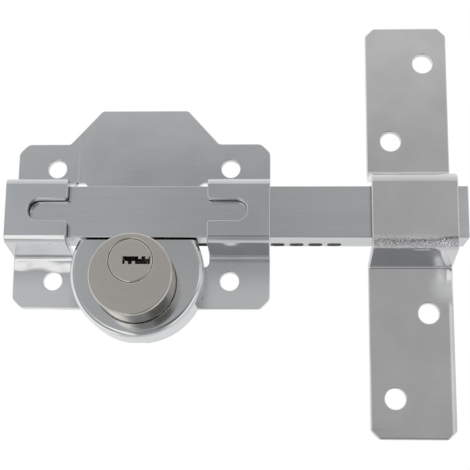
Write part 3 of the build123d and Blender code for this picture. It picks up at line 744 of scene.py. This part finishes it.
# Housing: a cup drawn from 1.8 mm sheet and bright plated, with its top cut off level under the bar
# and a round hole for the key cylinder. Three tenons on its rim fit into slots of the lock plate.
rim, wall, cup_front, cup_top = 2.2, 1.8, 17.0, -10.5
bend_turn = np.radians(np.linspace(0, 90, 8))
cup_edge = {
    "inset": np.concatenate([rim * (1 - np.sin(bend_turn)), [0, 0.15, wall - 0.15, wall],
                             wall + 2 * (1 - np.cos(bend_turn))]),
    "depth": np.concatenate([rim * (1 - np.cos(bend_turn)), [14.35, 14.5, 14.5, 14.35],
                             wall + 2 * (1 - np.sin(bend_turn))]),
    "lean": np.concatenate(
        [bend_turn, np.radians([90, 180, 180, 270]), np.radians(270) - bend_turn]),
}
lip_turn = np.radians(np.linspace(0, 90, 5))
hole_edge = {
    "inset": np.concatenate([0.4 * (1 - np.sin(lip_turn)), [0]]),
    "depth": np.concatenate([0.4 * (1 - np.cos(lip_turn)), [wall]]),
    "lean": np.concatenate([lip_turn, [np.radians(90)]]),
}
top_turn = np.degrees(np.arcsin((cup_top - plug_z) / cup_radius))
cup_outline = arc(0, plug_z, cup_radius, 180 - top_turn, 360 + top_turn, 120)
cylinder_z = -28.5


def cup_opening(middle):
    """Picks the side along the housing's cut top."""
    return middle[:, 1] > cup_top - 1e-6


points, normals, walls, flats = blanked(
    [cup_outline, circle(0, cylinder_z, 16.55, steps=96)], [cup_edge, hole_edge],
    plain=cup_opening, cut=cup_opening)
cup_parts = [standing(points, normals, cup_front) + (walls, flats)]
tenon_edge = {"inset": np.array([0, 0, 0.25]), "depth": np.array([0, 3.75, 3.95]),
              "lean": np.radians([90, 90, 160])}
for angle in (-12, -90, -168):
    points, normals, walls, flats = blanked([tenon_loop(angle, 1.3, 7.0, 1)], [tenon_edge])
    cup_parts.append(standing(points, normals, 4.0) + (walls, flats))
piece("pressed_housing", *together(cup_parts), "root", "cylinder_housing", "plated_sheet",
      plate_finish)

# Sleeve: a brass cup turned and satin nickel plated, with polished sides. It covers the key
# cylinder, and a flange behind the housing's front holds it. The plug shows through its
# off-centre hole.
sleeve_radius, sleeve_front, plug_bore = 16.4, 34.4, 8.75
sleeve_edge = {
    "inset": np.concatenate([0.75 * (1 - np.sin(lip_turn)), [0, -0.05, -0.55, -0.65, -0.65, -0.55,
                                                             1.4, 1.5, 1.5, 1.6]]),
    "depth": np.concatenate([0.75 * (1 - np.cos(lip_turn)), [19.1, 19.2, 19.2, 19.3, 21.3, 21.4,
                                                             21.4, 21.3, 3.0, 2.9]]),
    "lean": np.concatenate([lip_turn, np.radians([90, 0, 0, 90, 90, 180, 180, 270, 270, 180])]),
}
bore_edge = {
    "inset": np.concatenate([0.45 * (1 - np.sin(lip_turn)), [0]]),
    "depth": np.concatenate([0.45 * (1 - np.cos(lip_turn)), [2.9]]),
    "lean": np.concatenate([lip_turn, [np.radians(90)]]),
}
sleeve_finish = metal("satin_nickel", (0.565, 0.54, 0.5), 0.3, turned_on=(0, cylinder_z / 1000),
                      fine=(3500, 0.001), broad=(300, 0.002), tint=0.02, polished=0.14)
points, normals, walls, flats = blanked(
    [circle(0, cylinder_z, sleeve_radius, 1, 128), circle(0, plug_z, plug_bore, steps=96)],
    [sleeve_edge, bore_edge])
piece("turned_sleeve", *standing(points, normals, sleeve_front), walls, flats, "root",
      "cylinder_sleeve", "satin_nickel", sleeve_finish)

# Bar: drawn steel bar, satin plated along its length, with rounded long edges. Twelve pockets are
# milled into its lower face near the door, for the pinion's teeth, and are left dull.
bar_low, bar_high, bar_edge = -9.6, 12.0, 0.35
bar_round = {
    "inset": np.concatenate([bar_edge * (1 - np.sin(lip_turn)), bar_edge * (1 - np.cos(lip_turn))]),
    "depth": np.concatenate([bar_edge * (1 - np.cos(lip_turn)),
                             bar_high - bar_low - bar_edge * (1 - np.sin(lip_turn))]),
    "lean": np.concatenate([lip_turn, np.radians(90) + lip_turn]),
}
pocket_edge = {
    "inset": np.array([0.12, 0.04, 0, 0, -0.6, -1.1]),
    "depth": np.array([0, 0.04, 0.12, 3.2, 3.8, 4.0]),
    "lean": np.radians([0, 45, 90, 90, 45, 0]),
}
bar_left, bar_right, bar_back, bar_front = -49.4, 133.9, 2.8, 17.4
bar_outline = rounded([
    (bar_left, bar_back), (bar_right, bar_back), (bar_right, bar_front), (bar_left, bar_front),
], 0.5)
pocket_pitch, pocket_first, pocket_out, pocket_count = 7.8, -5.4, 5.65, 12
pocket_outline = rounded([(-2.85, -2.35), (-2.85, 2.35), (2.85, 2.35), (2.85, -2.35)], 1.5)
pockets = [pocket_outline + (pocket_first + pocket_pitch * n, pocket_out)
           for n in range(pocket_count)]
points, normals, walls, flats = blanked(
    [bar_outline] + pockets, [bar_round] + [pocket_edge] * pocket_count,
    floors=range(1, pocket_count + 1))
laid = np.stack([points[:, 0], -points[:, 1], bar_low + points[:, 2]], 1)
leant = np.stack([normals[:, 0], -normals[:, 1], normals[:, 2]], 1)
bar_finish = metal("plated_bar", (0.585, 0.6, 0.61), 0.2, stretch=(0.02, 1, 1), fine=(2200, 0.0025),
                   broad=(160, 0.005), tint=0.035)
bar = piece("milled_bar", laid, leant, walls, flats, "bolt", "bolt_bar", "plated_bar", bar_finish)
pocket_finish = metal("milled_pocket", (0.5, 0.5, 0.5), 0.6, fine=(1800, 0.01))
bar.data.materials.append(pocket_finish)
centre = np.empty(len(bar.data.polygons) * 3)
bar.data.polygons.foreach_get("center", centre)
centre = centre.reshape(-1, 3) * 1000
inside = (np.abs(centre[:, 1] + pocket_out) < 2.4) & (centre[:, 2] > bar_low + 0.1)
inside &= centre[:, 2] < -5
bar.data.polygons.foreach_set("material_index", inside.astype(np.int32))

# Plug: turned from brass and satin nickel plated, with a collar, a stepped keyway and a tail with
# two flats. A slot across the tail's end takes the tail of the outside cylinder.
plug_edge = {
    "inset": np.concatenate([0.6 * (1 - np.sin(lip_turn)), [0, 0.1, 0.4, 0.5, 0.5, 0.65]]),
    "depth": np.concatenate([0.6 * (1 - np.cos(lip_turn)), [2.65, 2.75, 2.75, 2.85, 26.4, 26.55]]),
    "lean": np.concatenate([lip_turn, np.radians([90, 180, 180, 90, 90, 180])]),
}
keyway_edge = {
    "inset": np.array([0.1, 0.03, 0, 0]),
    "depth": np.array([0, 0.03, 0.1, 25.05]),
    "lean": np.radians([0, 45, 90, 90]),
}
keyway = np.array([
    (-3, -1.45), (-3, 1.65), (3.1, 1.65), (3.1, 0.6), (4.4, 0.6), (4.4, 1.65), (5.9, 1.65),
    (5.9, 0.6), (7.2, 0.6), (7.2, 1.65), (7.65, 1.65), (7.65, -1.45), (1.95, -1.45),
    (1.95, -0.3), (0.65, -0.3), (0.65, -1.45), (-0.85, -1.45), (-0.85, -0.3),
    (-2.15, -0.3), (-2.15, -1.45),
])
plug_front, tail_front, tail_radius, slot_floor, prong_front = 34.3, 7.75, 5.2, 3.4, 3.5
points, normals, walls, flats = blanked(
    [circle(0, plug_z, 8.7, 1, 96), rounded(keyway + (0, plug_z), 0.12, 3)],
    [plug_edge, keyway_edge],
    floors=(1,))
plug_parts = [standing(points, normals, plug_front) + (walls, flats)]
tail_outline = np.concatenate([arc(0, 0, tail_radius, -50.3, 50.3, 17),
                               arc(0, 0, tail_radius, 129.7, 230.3, 17)])
tail_edge = {"inset": np.array([0, 0]), "depth": np.array([0, tail_front - slot_floor]),
             "lean": np.radians([90, 90])}
prong_outline = np.concatenate([arc(0, 0, tail_radius, 13.3, 50.3, 9),
                                arc(0, 0, tail_radius, 129.7, 166.7, 9)])
prong_edge = {"inset": np.array([0, 0, 0.2]), "depth": np.array([0, 1.7, 1.9]),
              "lean": np.radians([90, 90, 135])}
for outline, edge, front in ((tail_outline, tail_edge, tail_front),
                             (prong_outline, prong_edge, prong_front),
                             (-prong_outline, prong_edge, prong_front)):
    points, normals, walls, flats = blanked([outline + (0, plug_z)], [edge])
    plug_parts.append(standing(points, normals, front) + (walls, flats))
plug_finish = metal("satin_nickel_plug", (0.6, 0.575, 0.53), 0.27, turned_on=(0, plug_z / 1000),
                    fine=(3500, 0.001), broad=(300, 0.002), tint=0.02, polished=0.14)
piece("turned_plug", *together(plug_parts), "plug_body", "plug", "satin_nickel", plug_finish)

# Springs: one for each driver pin, five coils of spring steel wire. The wire's middle runs round a
# helix, and its round section is carried along it.
wire, coils, round_wire, round_coil = 0.22, 5, 8, 20
steel_finish = metal("spring_steel", (0.55, 0.56, 0.58), 0.22)
for number in range(1, 6):
    bottom, top = (np.array(corner) * 1000 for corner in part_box(f"pin_spring_{number}"))
    middle = (bottom + top) / 2
    reach = (top[0] - bottom[0]) / 2 - wire
    along, around = np.meshgrid(np.linspace(0, 1, round_coil * coils + 1),
                                np.arange(round_wire) * 2 * np.pi / round_wire, indexing="ij")
    angle = 2 * np.pi * coils * along
    out = reach + wire * np.cos(around)
    rise = bottom[2] + wire + along * (top[2] - bottom[2] - 2 * wire) + wire * np.sin(around)
    points = np.stack([middle[0] + out * np.cos(angle), middle[1] + out * np.sin(angle), rise], 2)
    lean = np.stack(
        [np.cos(around) * np.cos(angle), np.cos(around) * np.sin(angle), np.sin(around)], 2)
    grid = np.arange(points[..., 0].size).reshape(along.shape)
    ahead = np.roll(grid, -1, 1)
    quads = np.stack([grid[:-1], grid[1:], ahead[1:], ahead[:-1]], 2).reshape(-1, 4)
    flats = [grid[0].tolist(), grid[-1, ::-1].tolist()]
    piece(f"coil_spring_{number}", points.reshape(-1, 3), lean.reshape(-1, 3),
          quads[:, ::-1].tolist(), flats, "root", f"pin_spring_{number}", "spring_steel",
          steel_finish)

# Core, cover, screws, pins, pinion and clip: turned and milled parts that the solids already show
# in full. They get their metal, and the small rounding that tumbling leaves on machined edges.
brass_finish = metal("brass", (0.74, 0.56, 0.28), 0.25)
zinc_finish = metal("zinc_screw", (0.66, 0.68, 0.7), 0.28)
pinion_finish = metal("pinion_steel", (0.42, 0.42, 0.42), 0.42, fine=(2500, 0.008))
small_parts = {"cylinder_core": brass_finish, "spring_cover": brass_finish,
               "cylinder_screws": zinc_finish, "drive_pinion": pinion_finish,
               "pinion_clip": steel_finish}
small_parts.update({f"{kind}_pin_{n}": brass_finish
                    for kind in ("key", "driver") for n in range(1, 6)})
for name, finish in small_parts.items():
    part = nodes[name]
    part.data.materials.clear()
    part.data.materials.append(finish)
    weld = part.modifiers.new("weld", "WELD")
    weld.merge_threshold = 0.000004
    edge = part.modifiers.new("edge", "BEVEL")
    edge.width = 0.0001
    edge.segments = 2
    edge.limit_method = "ANGLE"
    edge.angle_limit = np.radians(32)
    edge.use_clamp_overlap = True
    part.modifiers.new("shade", "WEIGHTED_NORMAL")
